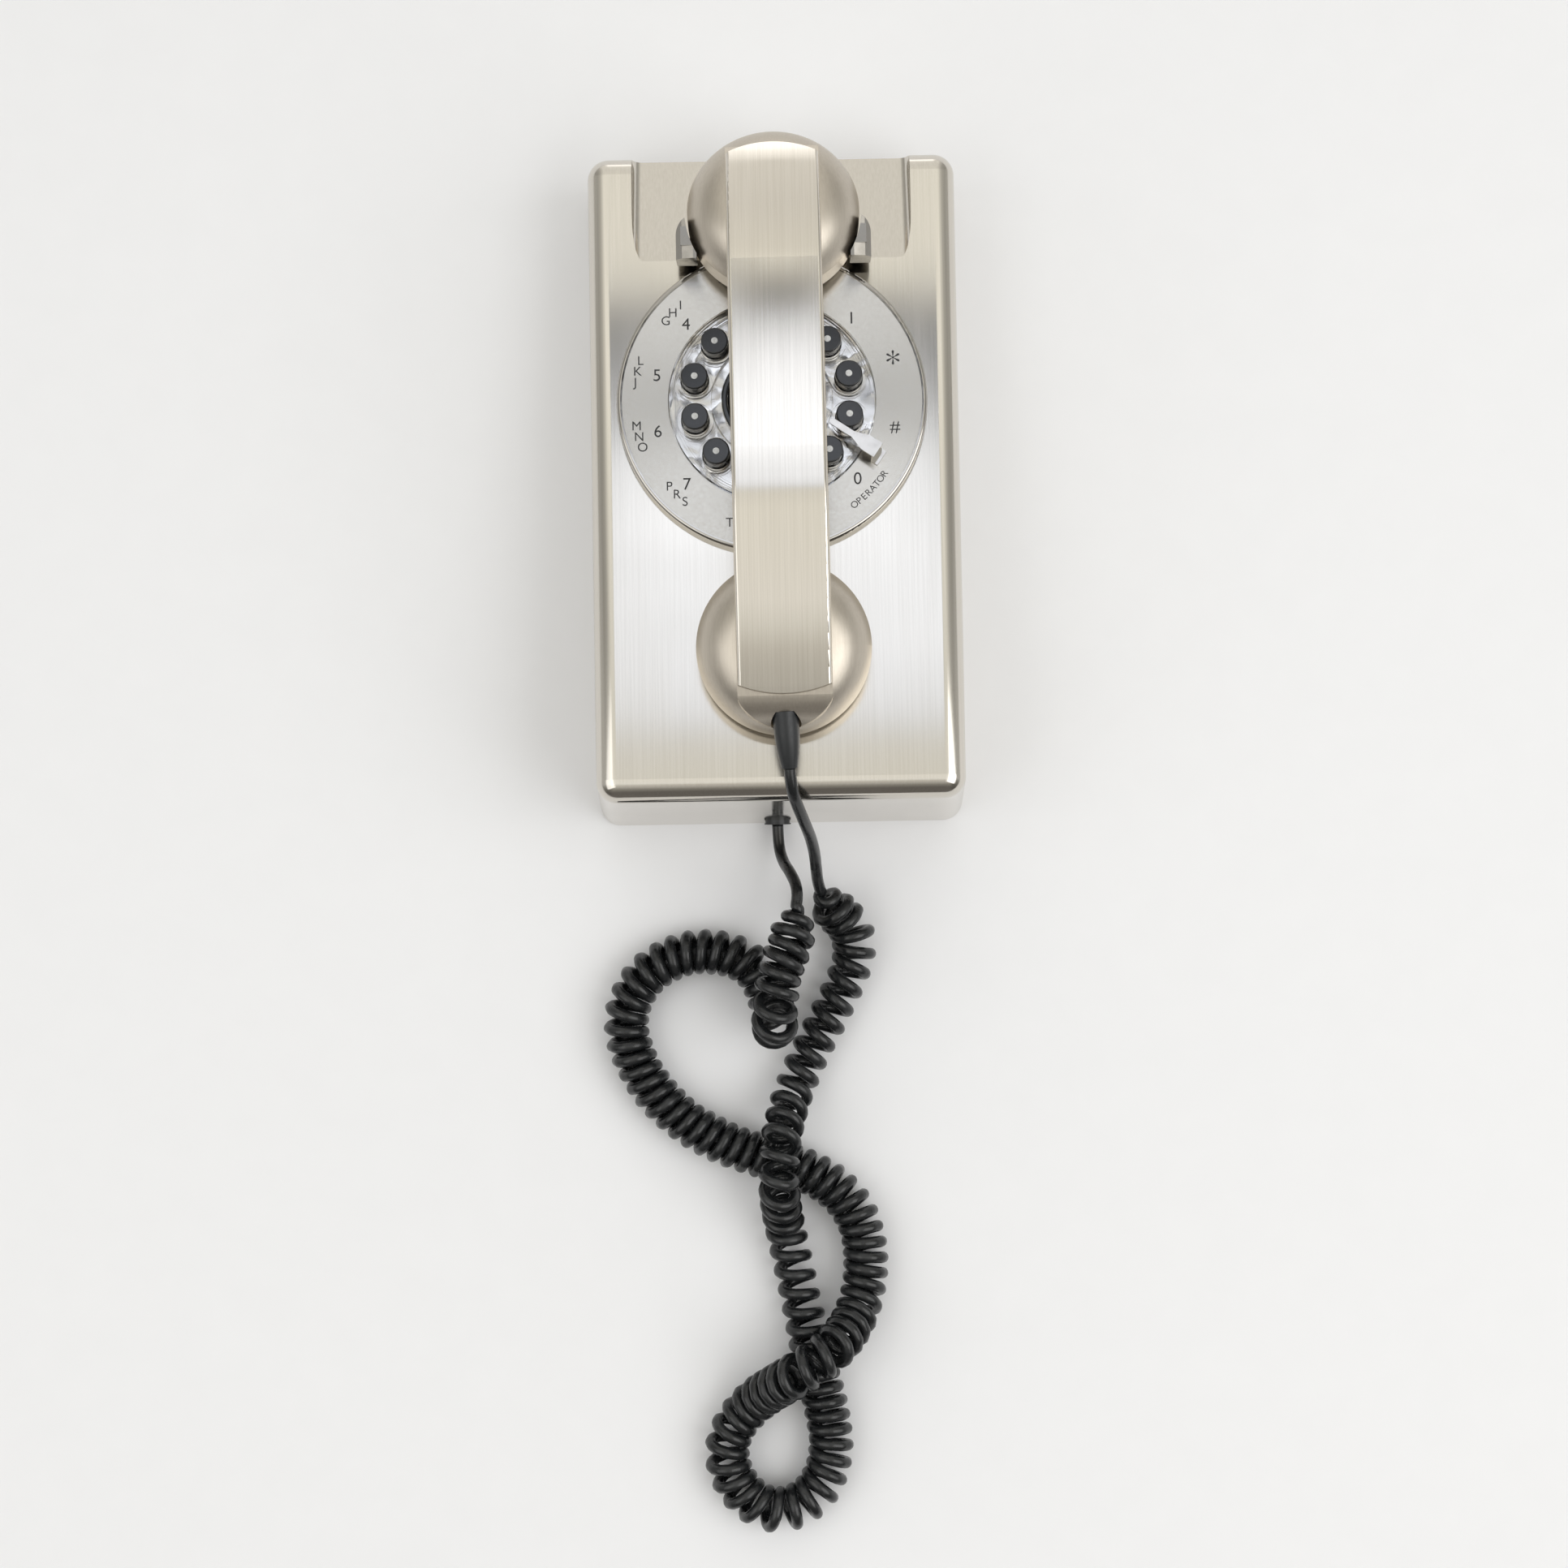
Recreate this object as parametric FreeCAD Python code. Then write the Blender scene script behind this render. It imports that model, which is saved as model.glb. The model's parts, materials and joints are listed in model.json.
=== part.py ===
"""Retro wall telephone: brushed housing, push buttons set in a dial, handset on a hook, curly cord.

The telephone lies on its back. The origin is the centre of the back face, which goes against the wall.
+Z points out of the front, +Y towards the earpiece end (up on the wall) and +X across. Units: mm.
"""
import FreeCAD, Part
import math
import os

from FreeCAD import Placement, Rotation, Vector

# ---------------------------------------------------------------- driving dimensions
HOUSING_LENGTH = 236.0          # along Y at the back
HOUSING_WIDTH = 134.0           # along X at the back
FACE_TILT = 7.5                 # degrees: the front face is lower at the top of the phone
FACE_HEIGHT = 57.4              # height of the front face above the back, at Y = 0
SIDE_DRAFT = 2.5                # degrees: the side walls lean in towards the front
TOP_WALL_LEAN = 4.0             # degrees: the top wall leans out towards the front
WALL = 2.5                      # housing wall thickness
EDGE_RADIUS = 7.5               # rounded edges around the front face and between the walls

RECESS_HALF_WIDTH = 49.5        # lowered panel between the two rails at the top
RECESS_START = 82.0             # Y where the lowered panel leaves the face
RECESS_DEPTH = 9.0              # its depth at the top end

DIAL_X = -0.85                  # dial centre
DIAL_Y = 30.0
DIAL_RADIUS = 54.3
BEZEL_TOP = 5.0                 # heights above the face
RING_TOP = 4.4
DISH_BASE = 2.0
RING_INNER_RADIUS = 36.4
DISH_RADIUS = 36.0
FRAME_RADIUS = 38.6             # moulded frame behind the dial
FRAME_DEPTH = 14.0
BUTTON_CIRCLE = 27.8            # radius of the circle of buttons
BUTTON_RADIUS = 4.7
BUTTON_TOP = 11.6               # button top above the face
BUTTON_TRAVEL = 1.8
HUB_RADIUS = 21.2
CENTRE_RING_RADIUS = 17.6

EAR_CENTRE = Vector(0.7, 93.5, 51.5)    # centre of the earpiece cap's front
MOUTH_CENTRE = Vector(1.8, -57.0, 71.5)     # centre of the mouthpiece cap's front
CAP_TILT = 8.0                  # degrees: each cap faces inwards, seen from the handle
CAP_RADIUS = 30.0
CAP_HEIGHT = 10.0
HANDLE_TOP = 41.0               # handset back above the line through the cap centres
BEND_EAR = (50.0, 90.6)         # where the straight back starts to curve down, and that curve's radius
BEND_MOUTH = (-15.0, 222.0)
TRIM_RADIUS = 29.0              # the handle's ends are rounded about the cap axes
HANDLE_WIDTH = 32.0
CHIN_HALF_WIDTH = 16.8          # the chin's rounded end, seen from the front
CHIN_START = -93.0
CHIN_END = -105.6
HANDLE_UNDERSIDE = 17.0
STRIP_THICKNESS = 2.4
STRIP_EAR_END = 95.2
STRIP_EAR_BULGE = 4.5           # how far each end's rounded middle stands beyond its corners
STRIP_MOUTH_END = -96.0
STRIP_MOUTH_BULGE = 3.0
BOOT_START = Vector(-0.2, -99.6, 15.4)  # strain relief, in the handset's own frame
BOOT_AXIS = Vector(0.06, -1, -0.35).normalize()
BOOT_LENGTH = 20.0
BOOT_COLLAR_RADIUS = 4.7
BOOT_BODY_RADIUS = 4.4
BOOT_TIP_RADIUS = 2.85

KEYHOLE_RADIUS = 5.0            # keyholes in the back plate, for two wall studs
KEYHOLE_SLOT = 2.4              # half the width of the keyhole's slot
KEYHOLE_SPACING = 84.0
KEYHOLE_LOW_Y = -50.0
BASE_SCREWS = [(x, y) for x in (-54.0, 54.0) for y in (-100.0, 102.0)]

HOOK_PIVOT = Vector(0, 60.0, 24.0)
HOOK_CENTRE = Vector(0.6, 96.0, 0)      # the hook's ears clear a circle round this point
EAR_CLEAR_RADIUS = 30.8
EAR_INNER = 26.7                # the ears' sides, from the hook's centre line
EAR_OUTER = 33.9
EAR_LOW_Y = 79.0
EAR_HIGH_Y = 94.0
EAR_TOP = 67.0
EAR_CORNER_RADIUS = 6.5
EAR_FLATS = ((1.2, 14.0), (4.2, 48.0))  # flats sloping away from the cap: where each starts, and its angle
EAR_ABOVE_FACE = 5.6            # the ears' wide heads start at this height above the face
STEM_INNER = 28.0               # the narrower stems that pass through the face
STEM_OUTER = 32.2
STEM_LOW_Y = 83.4
STEM_HIGH_Y = 90.0
SLOT_GAP = 0.6
SLOT_SWING = 3.2                # extra length of the slot towards -Y, where the stem swings
SWITCH_X = 22.0                 # hook switch, under the tail of the hook
SWITCH_Y = 47.0

CORD_EXIT = Vector(-1.6, -118.0, 5.2)
WIRE_DIAMETER = 4.2
COIL_DIAMETER = 17.0

# ---------------------------------------------------------------- derived frames
TAN_TILT = math.tan(math.radians(FACE_TILT))
HALF_LENGTH = HOUSING_LENGTH / 2
X_AXIS = Vector(1, 0, 0)
Y_AXIS = Vector(0, 1, 0)
Z_AXIS = Vector(0, 0, 1)


def face_z(y):
    """Height of the flat front face at a given Y."""
    return FACE_HEIGHT - y * TAN_TILT


DIAL_PLACE = Placement(Vector(DIAL_X, DIAL_Y, face_z(DIAL_Y)), Rotation(X_AXIS, -FACE_TILT))

CHORD = EAR_CENTRE - MOUTH_CENTRE
HANDSET_TILT = math.degrees(math.atan2(-CHORD.z, CHORD.y))
HANDSET_TURN = math.degrees(math.atan2(-CHORD.x, CHORD.y))
HALF_CHORD = CHORD.Length / 2
HANDSET_ROTATION = Rotation(Z_AXIS, HANDSET_TURN).multiply(Rotation(X_AXIS, -HANDSET_TILT))
HANDSET_PLACE = Placement((EAR_CENTRE + MOUTH_CENTRE) * 0.5, HANDSET_ROTATION)

nodes = {}


# ---------------------------------------------------------------- shape helpers
def at_dial(shape):
    """Move a shape from the dial's own frame (Z out of the face) onto the housing."""
    placed = shape.copy()
    placed.Placement = DIAL_PLACE.multiply(placed.Placement)
    return placed


def at_handset(shape):
    """Move a shape from the handset's own frame (Y towards the earpiece) into place."""
    placed = shape.copy()
    placed.Placement = HANDSET_PLACE.multiply(placed.Placement)
    return placed


def cylinder(radius, low, high, x=0.0, y=0.0):
    return Part.makeCylinder(radius, high - low, Vector(x, y, low))


def tube(outer, inner, low, high, x=0.0, y=0.0):
    return cylinder(outer, low, high, x, y).cut(cylinder(inner, low - 1, high + 1, x, y))


def block(low, high):
    return Part.makeBox(high[0] - low[0], high[1] - low[1], high[2] - low[2], Vector(*low))


def prism(points_yz, half_width):
    """A closed outline in the YZ plane, extruded along X to both sides."""
    corners = [Vector(-half_width, y, z) for y, z in points_yz]
    face = Part.Face(Part.makePolygon(corners + corners[:1]))
    return face.extrude(Vector(2 * half_width, 0, 0))


def round_edges(shape, edges, radius):
    return shape.makeFillet(radius, edges) if edges else shape


def fuse_all(shapes):
    whole = shapes[0].multiFuse(shapes[1:]) if len(shapes) > 1 else shapes[0]
    return whole.removeSplitter()


def polar(radius, degrees):
    angle = math.radians(degrees)
    return radius * math.cos(angle), radius * math.sin(angle)


# ---------------------------------------------------------------- housing
def housing_block(inset):
    """The housing's outer form, or the same form shrunk by a wall thickness, with rounded edges."""
    front = face_z(0) - inset / math.cos(math.radians(FACE_TILT))
    bottom_y = -HALF_LENGTH + inset
    top_y = HALF_LENGTH - inset
    base_z = 0.0 if inset == 0 else -5.0
    # the bottom wall is square to the face: y = bottom_y + z tan(tilt)
    meet_z = (front - bottom_y * TAN_TILT) / (1 + TAN_TILT ** 2)
    top_lean = math.tan(math.radians(TOP_WALL_LEAN))
    top_meet_z = (front - top_y * TAN_TILT) / (1 + top_lean * TAN_TILT)
    outline = [
        (bottom_y + base_z * TAN_TILT, base_z),
        (bottom_y + meet_z * TAN_TILT, meet_z),
        (top_y + top_meet_z * top_lean, top_meet_z),
        (top_y + base_z * top_lean, base_z),
    ]
    body = prism(outline, HOUSING_WIDTH)
    lean = math.tan(math.radians(SIDE_DRAFT))
    for side in (-1, 1):
        low_x = HOUSING_WIDTH / 2 - inset - base_z * lean
        high_x = low_x - 100 * lean
        corners = [Vector(side * low_x, -200, base_z), Vector(side * 300, -200, base_z),
                   Vector(side * 300, -200, base_z + 100), Vector(side * high_x, -200, base_z + 100)]
        outside = Part.Face(Part.makePolygon(corners + corners[:1])).extrude(Vector(0, 400, 0))
        body = body.cut(outside)
    rounded = []
    for edge in body.Edges:
        upright = abs(edge.tangentAt(edge.FirstParameter).z) > 0.9
        if upright or edge.CenterOfMass.z > face_z(edge.CenterOfMass.y) - 4 - 2 * inset:
            rounded.append(edge)
    return round_edges(body, rounded, EDGE_RADIUS - inset)


def recess_cutter(grow):
    """Wedge that lowers the top panel between the rails, with softly rounded inner edges."""
    run = HALF_LENGTH - RECESS_START
    start_z = face_z(RECESS_START)
    end_z = face_z(HALF_LENGTH) - RECESS_DEPTH
    slope = (end_z - start_z) / run
    low = -20.0
    far = run + 40.0
    outline = [
        (RECESS_START + low, start_z + low * slope - grow),
        (RECESS_START + far, start_z + far * slope - grow),
        (RECESS_START + far, 120),
        (RECESS_START + low, 120),
    ]
    cutter = prism(outline, RECESS_HALF_WIDTH + grow)
    edges = []
    for edge in cutter.Edges:
        on_floor = edge.CenterOfMass.z < start_z + 10 and abs(edge.CenterOfMass.x) > RECESS_HALF_WIDTH - 1
        if on_floor and abs(edge.tangentAt(edge.FirstParameter).x) < 0.1 and edge.Length > 60:
            edges.append(edge)
    lowest = [edge for edge in edges if edge.CenterOfMass.z < 60]
    return round_edges(cutter, lowest, 4.0)


def make_housing():
    outer = housing_block(0).cut(recess_cutter(0))
    inner = housing_block(WALL).cut(recess_cutter(WALL))
    shell = outer.cut(inner)
    dial_hole = at_dial(cylinder(FRAME_RADIUS + 0.3, -30, 20))
    shell = shell.cut(dial_hole)
    # each slot reaches further down the face than the stem, which swings that way as the hook rises
    for side in (-1, 1):
        inner, outer = sorted((side * (STEM_INNER - SLOT_GAP), side * (STEM_OUTER + SLOT_GAP)))
        low = (HOOK_CENTRE.x + inner, STEM_LOW_Y - SLOT_SWING, 25)
        high = (HOOK_CENTRE.x + outer, STEM_HIGH_Y + SLOT_GAP, 90)
        shell = shell.cut(block(low, high))
    cord_hole = Part.makeCylinder(4.6, 20, Vector(CORD_EXIT.x, -HALF_LENGTH - 10, CORD_EXIT.z), Y_AXIS)
    return shell.cut(cord_hole)


def make_base_plate():
    """Steel back plate with two keyholes for wall studs and a window for the wall socket's plug."""
    half_x = HOUSING_WIDTH / 2 - WALL - 0.4
    half_y = HALF_LENGTH - WALL - 0.6
    plate = block((-half_x, -half_y, 0), (half_x, half_y, 2.0))
    plate = round_edges(plate, [e for e in plate.Edges if abs(e.tangentAt(0).z) > 0.9], EDGE_RADIUS - WALL)
    for hole_y in (KEYHOLE_LOW_Y, KEYHOLE_LOW_Y + KEYHOLE_SPACING):
        plate = plate.cut(cylinder(KEYHOLE_RADIUS, -1, 4, 0, hole_y))
        plate = plate.cut(block((-KEYHOLE_SLOT, hole_y, -1), (KEYHOLE_SLOT, hole_y + 11, 4)))
    plate = plate.cut(block((-8, 4, -1), (8, 22, 4)))
    plate = plate.cut(block((CORD_EXIT.x - 6, -HALF_LENGTH, -1), (CORD_EXIT.x + 6, -HALF_LENGTH + 8, 4)))
    for x, y in BASE_SCREWS:
        plate = plate.cut(cylinder(1.7, -1, 4, x, y))
    return plate


def make_base_screws():
    """Four screws from the back, each in its own moulded boss."""
    screws = []
    for x, y in BASE_SCREWS:
        shank = cylinder(1.5, 0.1, 12, x, y)
        slot = block((x - 1.2, y - 0.25, 0), (x + 1.2, y + 0.25, 0.6))
        screws.append(shank.cut(slot))
    return Part.makeCompound(screws)


def make_bosses():
    """Moulded posts that stand on the base plate and take its screws and the circuit board."""
    posts = [tube(4.0, 1.55, 2.0, 20.0, x, y) for x, y in BASE_SCREWS]
    return Part.makeCompound(posts)


# ---------------------------------------------------------------- dial and buttons
BUTTON_NAMES = ["star", "1", "2", "3", "4", "5", "6", "7", "8", "9", "0", "hash"]
BUTTON_ANGLES = [15 + 30 * i for i in range(10)] + [315, 345]


def button_places():
    return [(name, *polar(BUTTON_CIRCLE, angle)) for name, angle in zip(BUTTON_NAMES, BUTTON_ANGLES)]


def make_dial_bezel():
    ring = tube(DIAL_RADIUS, DIAL_RADIUS - 1.7, 0.0, BEZEL_TOP)
    outer_length = 2 * math.pi * (DIAL_RADIUS - 0.5)
    outer_edges = [e for e in ring.Edges if e.CenterOfMass.z > BEZEL_TOP - 0.1 and e.Length > outer_length]
    return round_edges(ring, outer_edges, 1.2)


def make_number_ring():
    return tube(DIAL_RADIUS - 1.75, RING_INNER_RADIUS, 0.0, RING_TOP)


def make_dish():
    """Clear dish: a thin floor, a double rim and a raised collar round each button."""
    low = DISH_BASE + 0.4
    dish = tube(DISH_RADIUS, HUB_RADIUS + 0.2, low, low + 1.4)
    dish = dish.fuse(tube(DISH_RADIUS, DISH_RADIUS - 1.3, low, low + 3.6))
    dish = dish.fuse(tube(DISH_RADIUS - 2.3, DISH_RADIUS - 3.1, low, low + 2.4))
    for name, x, y in button_places():
        dish = dish.fuse(cylinder(BUTTON_RADIUS + 1.7, low, low + 3.0, x, y))
    for name, x, y in button_places():
        dish = dish.cut(cylinder(BUTTON_RADIUS + 0.35, low - 1, low + 6, x, y))
    return dish


def make_hub_ring():
    """Clear ring round the centre, with small radial notches."""
    top = DISH_BASE + 3.6
    ring = tube(HUB_RADIUS, CENTRE_RING_RADIUS + 0.2, DISH_BASE + 0.4, top)
    notch_count = 24
    for i in range(notch_count):
        notch = block((HUB_RADIUS - 1.4, -0.35, top - 0.5), (HUB_RADIUS + 1, 0.35, top + 1))
        notch.rotate(Vector(0, 0, 0), Z_AXIS, 360.0 * i / notch_count)
        ring = ring.cut(notch)
    return ring


def make_centre_ring():
    top = DISH_BASE + 4.2
    ring = tube(CENTRE_RING_RADIUS, CENTRE_RING_RADIUS - 2.0, DISH_BASE, top)
    return round_edges(ring, [e for e in ring.Edges if e.CenterOfMass.z > top - 0.1], 0.6)


def make_centre_window():
    top = DISH_BASE + 3.2
    disc = cylinder(CENTRE_RING_RADIUS - 2.1, DISH_BASE, top)
    return round_edges(disc, [e for e in disc.Edges if e.CenterOfMass.z > top - 0.1], 0.8)


def make_dial_frame():
    """Moulded frame behind the dial: it guides the buttons and holds mat and board."""
    low = -FRAME_DEPTH
    frame = tube(FRAME_RADIUS, FRAME_RADIUS - 1.6, low, -0.1)
    frame = frame.fuse(cylinder(FRAME_RADIUS, -2.2, -0.1))
    frame = frame.fuse(cylinder(DISH_RADIUS - 0.2, -2.2, DISH_BASE - 0.1))
    frame = frame.fuse(cylinder(FRAME_RADIUS, low, low + 1.6))
    for name, x, y in button_places():
        frame = frame.cut(cylinder(BUTTON_RADIUS + 0.35, -3, DISH_BASE + 1, x, y))
    return frame


def make_button(x, y):
    """A round key: glossy cap, flange behind the frame and a short stem on the rubber mat."""
    cap = cylinder(BUTTON_RADIUS, -5.4, BUTTON_TOP, x, y)
    cap = round_edges(cap, [e for e in cap.Edges if e.CenterOfMass.z > BUTTON_TOP - 0.1], 0.5)
    flange = cylinder(BUTTON_RADIUS + 0.9, -4.0, -2.7, x, y)
    return cap.fuse(flange)


def make_keypad_mat():
    mat = cylinder(FRAME_RADIUS - 2.0, -10.6, -9.6)
    for name, x, y in button_places():
        mat = mat.fuse(Part.makeCone(4.2, 2.6, 1.7, Vector(x, y, -9.6)))
    return mat


def make_keypad_board():
    return cylinder(FRAME_RADIUS - 2.0, -12.3, -10.7)


STOP_TIP = Vector(20.9, -10.2, 11.8)
STOP_FOOT = Vector(36.4, -20.7, 11.8)
STOP_THICKNESS = 0.9
STOP_FLANGE = 1.8               # length of the foot's flange on the number ring


def make_finger_stop():
    """Chrome strip with a narrow rounded tip, widening towards a foot bent down to the ring."""
    along = STOP_FOOT - STOP_TIP
    length = along.Length
    half = [(0.0, 1.1), (0.45 * length, 1.1), (0.72 * length, 2.9), (length, 2.9)]
    left = [Vector(s, w, 0) for s, w in half]
    right = [Vector(s, -w, 0) for s, w in reversed(half)]
    lines = [Part.LineSegment(a, b).toShape() for a, b in zip(left, left[1:])]
    lines.append(Part.LineSegment(left[-1], right[0]).toShape())
    lines += [Part.LineSegment(a, b).toShape() for a, b in zip(right, right[1:])]
    lines.append(Part.Arc(right[-1], Vector(-1.1, 0, 0), left[0]).toShape())
    strip = Part.Face(Part.Wire(lines)).extrude(Vector(0, 0, STOP_THICKNESS))
    low = RING_TOP + 0.1 - STOP_TIP.z
    leg = block((length - STOP_THICKNESS, -2.9, low), (length, 2.9, STOP_THICKNESS))
    foot = block((length - STOP_THICKNESS, -2.9, low), (length + STOP_FLANGE, 2.9, low + 0.8))
    stop = fuse_all([strip, leg, foot])
    stop.Placement = Placement(STOP_TIP, Rotation(Z_AXIS, math.degrees(math.atan2(along.y, along.x))))
    return stop


# ---------------------------------------------------------------- inside the housing
def make_main_board():
    return block((-46, -92, 12), (46, -2, 13.6))


def make_board_parts():
    """Components soldered to the main board, as separate blocks and cans."""
    parts = [
        block((-34, -80, 13.6), (-16, -62, 22)),
        block((8, -84, 13.6), (30, -70, 18)),
        block((-10, -50, 13.6), (12, -36, 16)),
        cylinder(5, 13.6, 26, -30, -40),
        cylinder(4, 13.6, 24, 34, -50),
    ]
    return Part.makeCompound(parts)


def make_board_posts():
    return Part.makeCompound([cylinder(3, 2.0, 12, x, y) for x in (-42, 42) for y in (-88, -6)])


def make_ringer():
    """Sounder: a round can with a central hole."""
    can = cylinder(16, 14.0, 22, 26, -18)
    return can.cut(cylinder(2.5, 20, 30, 26, -18))


def make_line_plug():
    """Modular plug that goes into the socket of the wall plate, in the window of the base plate."""
    body = block((-5.8, 6.5, 0.2), (5.8, 19.5, 11.5))
    latch = block((-3.0, 4.6, 0.6), (3.0, 6.5, 8.0))
    return body.fuse(latch)


def make_plug_holder():
    """Moulded bridge over the window that carries the line plug."""
    legs = [block((x, 3, 2.0), (x + 2, 23, 14)) for x in (-12, 10)]
    return fuse_all(legs + [block((-12, 3, 11.6), (12, 23, 14))])


def make_hook_pin():
    return Part.makeCylinder(2.0, 84, HOOK_PIVOT - Vector(42, 0, 0), X_AXIS)


def make_hook_bracket():
    """Two upright ears on the base plate that carry the pivot pin, on a shared foot."""
    pieces = [block((-42, 52, 2.0), (42, 68, 3.6))]
    for x in (-42.0, 40.0):
        pieces.append(block((x, 52, 2.0), (x + 2, 68, HOOK_PIVOT.z + 5)))
    bracket = fuse_all(pieces)
    return bracket.cut(Part.makeCylinder(2.03, 100, HOOK_PIVOT - Vector(50, 0, 0), X_AXIS))


def make_hook_ear(side):
    """One ear: a head with a sloping top over the face, on a stem that passes through the housing's slot."""
    centre = HOOK_CENTRE
    inner, outer = sorted((side * EAR_INNER, side * EAR_OUTER))
    head = block((centre.x + inner, EAR_LOW_Y, HOOK_PIVOT.z), (centre.x + outer, EAR_HIGH_Y, EAR_TOP))
    corner = []
    for edge in head.Edges:
        middle = edge.CenterOfMass
        upright = abs(edge.tangentAt(edge.FirstParameter).z) > 0.9
        if upright and middle.y > EAR_HIGH_Y - 0.1 and abs(middle.x - centre.x) > EAR_OUTER - 0.1:
            corner.append(edge)
    head = round_edges(head, corner, EAR_CORNER_RADIUS)
    head = head.cut(cylinder(EAR_CLEAR_RADIUS, 0, 100, centre.x, centre.y))
    inner, outer = sorted((side * STEM_INNER, side * STEM_OUTER))
    stem = head.common(block((centre.x + inner, STEM_LOW_Y, 0), (centre.x + outer, STEM_HIGH_Y, 100)))
    near = EAR_LOW_Y - 10
    far = EAR_HIGH_Y + 10
    near_z = face_z(near) + EAR_ABOVE_FACE
    far_z = face_z(far) + EAR_ABOVE_FACE
    head = head.cut(prism([(near, near_z), (far, far_z), (far, 0.0), (near, 0.0)], 60.0))
    for start, slope in EAR_FLATS:
        flat = Part.makeBox(40, 60, 20, Vector(-20, -30, 0))
        flat.rotate(Vector(0, 0, 0), Y_AXIS, side * slope)
        flat.translate(Vector(centre.x + side * (EAR_INNER + start), EAR_LOW_Y, EAR_TOP))
        head = head.cut(flat)
    return [head, stem]


def make_hook():
    """Chrome cradle: two ears on arms, joined by a plate that turns on the pivot pin."""
    z = HOOK_PIVOT.z
    plate = block((-36, 44, z - 1.2), (36, 66, z + 1.2))
    barrel = Part.makeCylinder(4.2, 72, HOOK_PIVOT - Vector(36, 0, 0), X_AXIS)
    pieces = [plate, barrel]
    for side in (-1, 1):
        pieces += make_hook_ear(side)
        inner, outer = sorted((side * STEM_INNER, side * STEM_OUTER))
        low = (HOOK_CENTRE.x + inner, HOOK_PIVOT.y, z - 1.2)
        high = (HOOK_CENTRE.x + outer, STEM_HIGH_Y, z + 1.2)
        pieces.append(block(low, high))
    hook = fuse_all(pieces)
    return hook.cut(Part.makeCylinder(2.05, 100, HOOK_PIVOT - Vector(50, 0, 0), X_AXIS))


def make_hook_spring():
    """Torsion spring on the pivot pin, beside the hook's barrel."""
    centres = [Vector(37.2 + 0.85 * i, HOOK_PIVOT.y, HOOK_PIVOT.z) for i in range(3)]
    return Part.makeCompound([Part.makeTorus(2.9, 0.4, centre, X_AXIS) for centre in centres])


def make_hook_switch():
    """Switch body under the tail of the hook, with a bore for its plunger."""
    body = block((SWITCH_X - 9, SWITCH_Y - 5, 2.0), (SWITCH_X + 9, SWITCH_Y + 4, 15))
    return body.cut(cylinder(2.06, 6, 20, SWITCH_X, SWITCH_Y))


def make_switch_plunger():
    plunger = cylinder(2.0, 9.0, HOOK_PIVOT.z - 1.5, SWITCH_X, SWITCH_Y)
    return round_edges(plunger, [e for e in plunger.Edges if e.CenterOfMass.z > 20], 0.8)


def make_grommet():
    """Rubber bush in the hole of the bottom wall."""
    centre = Vector(CORD_EXIT.x, 0, CORD_EXIT.z)
    bore = Part.makeCylinder(WIRE_DIAMETER / 2, 40, centre + Vector(0, -140, 0), Y_AXIS)
    neck = Part.makeCylinder(4.5, 6.0, centre + Vector(0, -HALF_LENGTH - 0.5, 0), Y_AXIS)
    lip = Part.makeCylinder(4.9, 0.45, centre + Vector(0, -HALF_LENGTH - 0.5, 0), Y_AXIS)
    inner_lip = Part.makeCylinder(5.1, 1.2, centre + Vector(0, -HALF_LENGTH + 4.4, 0), Y_AXIS)
    return neck.fuse([lip, inner_lip]).cut(bore)


# ---------------------------------------------------------------- handset
def back_curve(drop, mouth_end, ear_end, x):
    """The handset's long back in side view: curve, straight, curve. Gives the edges and the two ends."""
    top = HANDLE_TOP - drop
    edges = []
    ends = []
    for (start, radius), end in ((BEND_MOUTH, mouth_end), (BEND_EAR, ear_end)):
        bend = radius - drop
        side = 1 if end > start else -1
        angle = math.asin(abs(end - start) / bend)
        points = []
        for turn in (0.0, 0.5 * angle, angle):
            points.append(Vector(x, start + side * bend * math.sin(turn), top - bend * (1 - math.cos(turn))))
        if side < 0:
            points.reverse()
        edges.append(Part.Arc(*points).toShape())
        ends.append(points[0] if side < 0 else points[-1])
    straight = Part.LineSegment(Vector(x, BEND_MOUTH[0], top), Vector(x, BEND_EAR[0], top)).toShape()
    return [edges[0], straight, edges[1]], ends


def arc_between(start, middle, end, x):
    points = [Vector(x, y, z) for y, z in (start, middle, end)]
    return Part.Arc(*points).toShape()


def plan_of_strip(grow):
    """The strip's outline seen from its back: straight sides and gently rounded ends, as an upright block."""
    half = HANDLE_WIDTH / 2 + grow
    ear = STRIP_EAR_END + grow
    mouth = STRIP_MOUTH_END - grow
    ear_side = ear - STRIP_EAR_BULGE
    mouth_side = mouth + STRIP_MOUTH_BULGE
    low = -20.0
    ear_corners = [Vector(-half, ear_side, low), Vector(half, ear_side, low)]
    mouth_corners = [Vector(-half, mouth_side, low), Vector(half, mouth_side, low)]
    wire = Part.Wire([
        Part.Arc(ear_corners[0], Vector(0, ear, low), ear_corners[1]).toShape(),
        Part.LineSegment(ear_corners[1], mouth_corners[1]).toShape(),
        Part.Arc(mouth_corners[1], Vector(0, mouth, low), mouth_corners[0]).toShape(),
        Part.LineSegment(mouth_corners[0], ear_corners[0]).toShape(),
    ])
    return Part.Face(wire).extrude(Vector(0, 0, 100))


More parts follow.
